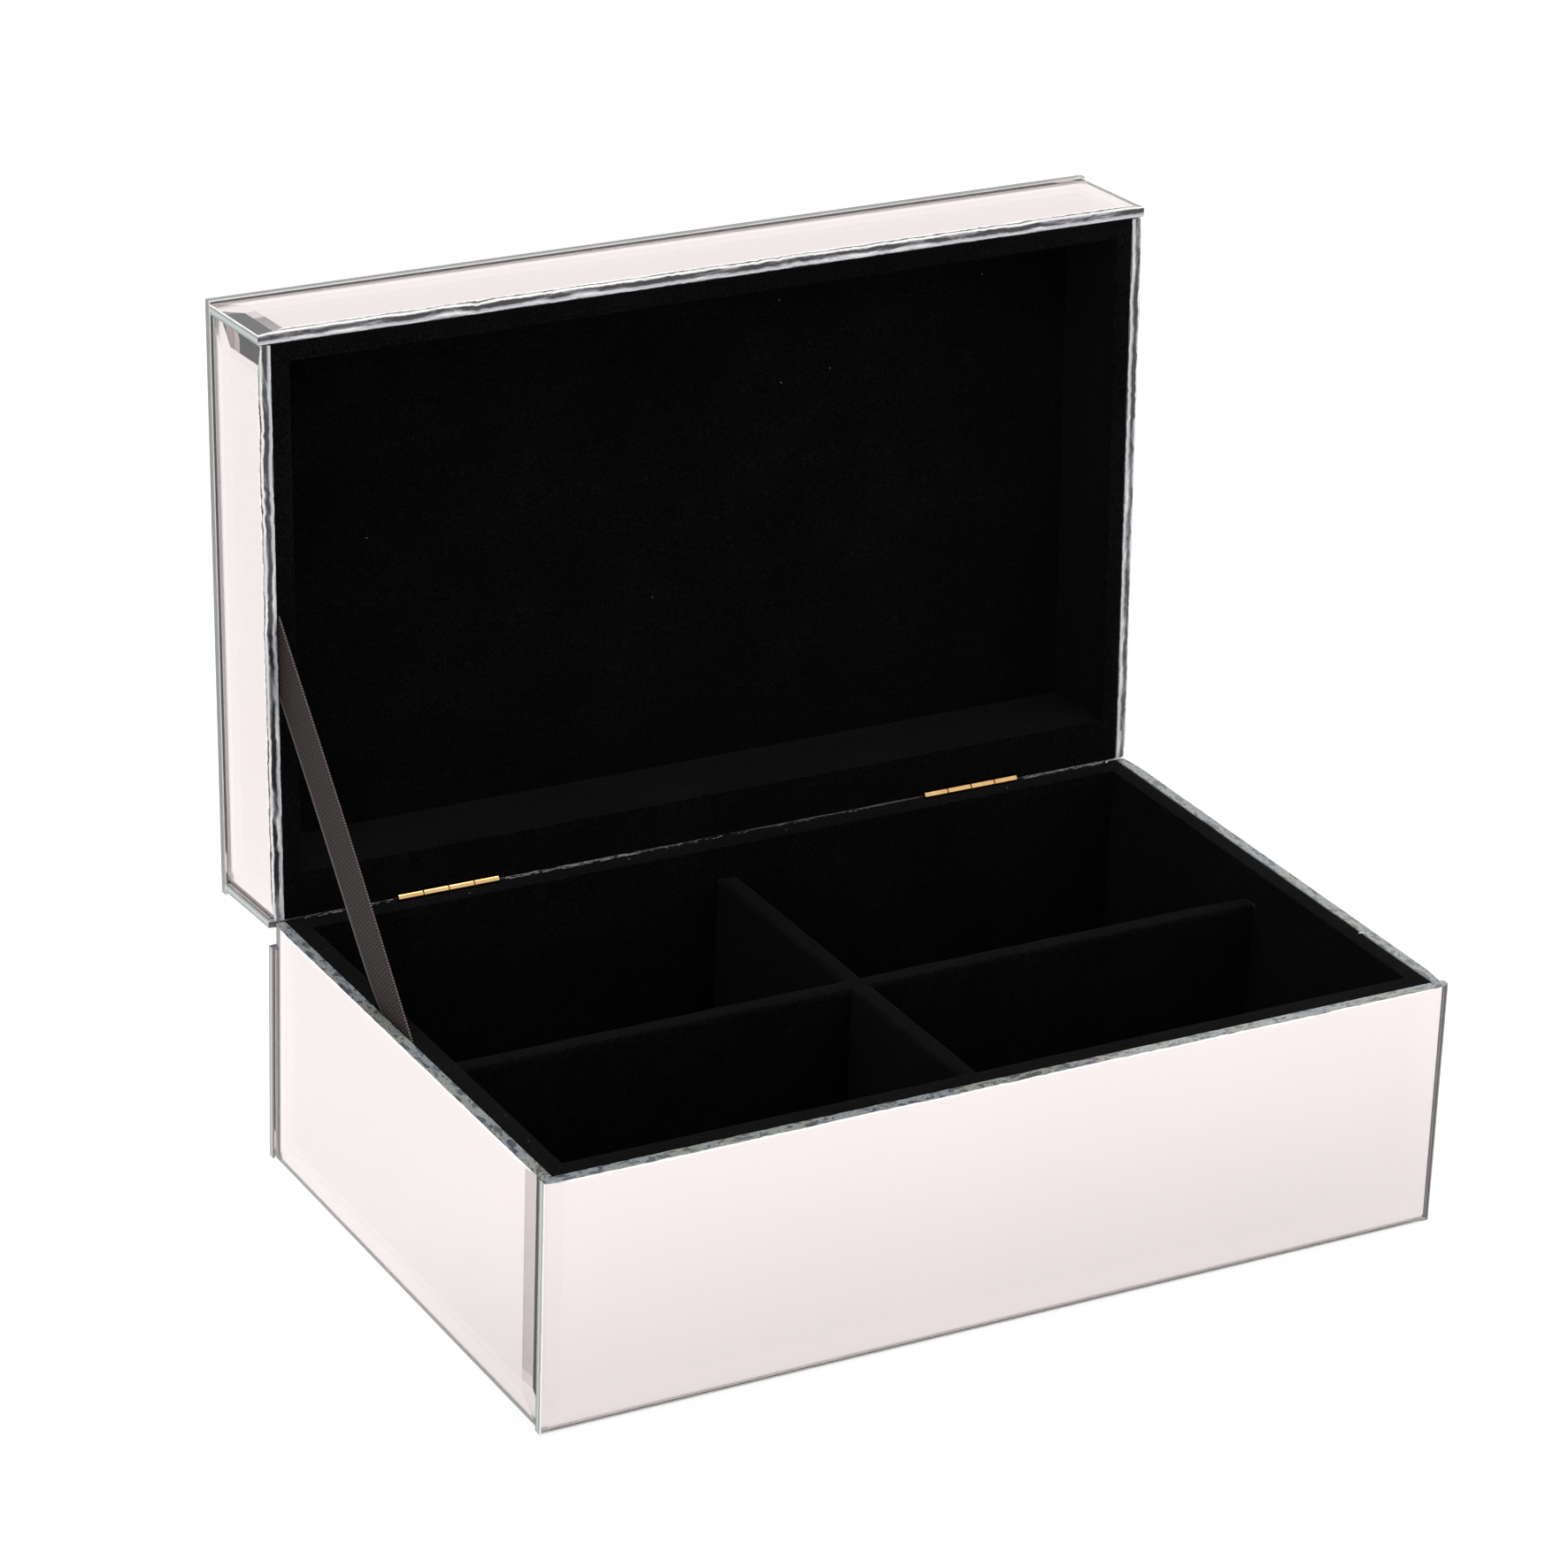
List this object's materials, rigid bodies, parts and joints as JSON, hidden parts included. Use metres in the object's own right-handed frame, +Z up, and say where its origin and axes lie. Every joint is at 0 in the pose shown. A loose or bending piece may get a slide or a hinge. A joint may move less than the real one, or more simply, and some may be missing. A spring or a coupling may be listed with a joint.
{
  "type": "vanity trinket box",
  "caption": "Rectangular trinket box of bevelled mirror panes on a velvet-lined core, with crossed dividers, a lid on butt hinges and a ribbon stay.",
  "frame": {"origin": "centre of the base's underside, on the felt, midway between the glass faces", "axes": "+Z up, +X along the width to the right as seen from the front, -Y towards the front"},
  "size_m": [0.25, 0.1936, 0.2203],
  "materials": {
    "mirror_glass": "3.5 mm silvered float glass with a polished bevel on its outer sides and hand-ground rims",
    "velvet": "short-pile black flocked velvet",
    "felt": "black needle felt",
    "satin_ribbon": "black woven ribbon, 15 mm wide",
    "brass": "polished yellow brass",
    "fibreboard": "medium-density fibreboard, stained black"
  },
  "bodies": {
    "base": {"base_board": "fibreboard", "base_front_wall": "fibreboard", "base_rear_wall": "fibreboard", "base_left_wall": "fibreboard", "base_right_wall": "fibreboard", "base_wall_lining": "velvet", "base_floor_lining": "velvet", "divider_long": "fibreboard", "divider_short": "fibreboard", "divider_long_cover": "velvet", "divider_short_cover": "velvet", "base_mirror_front": "mirror_glass", "base_mirror_rear": "mirror_glass", "base_mirror_left": "mirror_glass", "base_mirror_right": "mirror_glass", "base_felt": "felt", "hinge_left_base_leaf": "brass", "hinge_right_base_leaf": "brass", "hinge_left_pin": "brass", "hinge_right_pin": "brass", "base_hinge_screws": "brass", "ribbon_stay": "satin_ribbon"},
    "lid": {"lid_board": "fibreboard", "lid_front_wall": "fibreboard", "lid_rear_wall": "fibreboard", "lid_left_wall": "fibreboard", "lid_right_wall": "fibreboard", "lid_wall_lining": "velvet", "lid_panel_lining": "velvet", "lid_mirror_top": "mirror_glass", "lid_mirror_front": "mirror_glass", "lid_mirror_rear": "mirror_glass", "lid_mirror_left": "mirror_glass", "lid_mirror_right": "mirror_glass", "hinge_left_lid_leaf": "brass", "hinge_right_lid_leaf": "brass", "lid_hinge_screws": "brass"}
  },
  "joints": [
    {"name": "lid_hinge", "type": "hinge", "parent": "base", "child": "lid", "pos_m": [0, 0.075, 0.067], "axis": [1, 0, 0], "range_deg": [0, 92.8], "deforming": ["ribbon_stay"]}
  ]
}
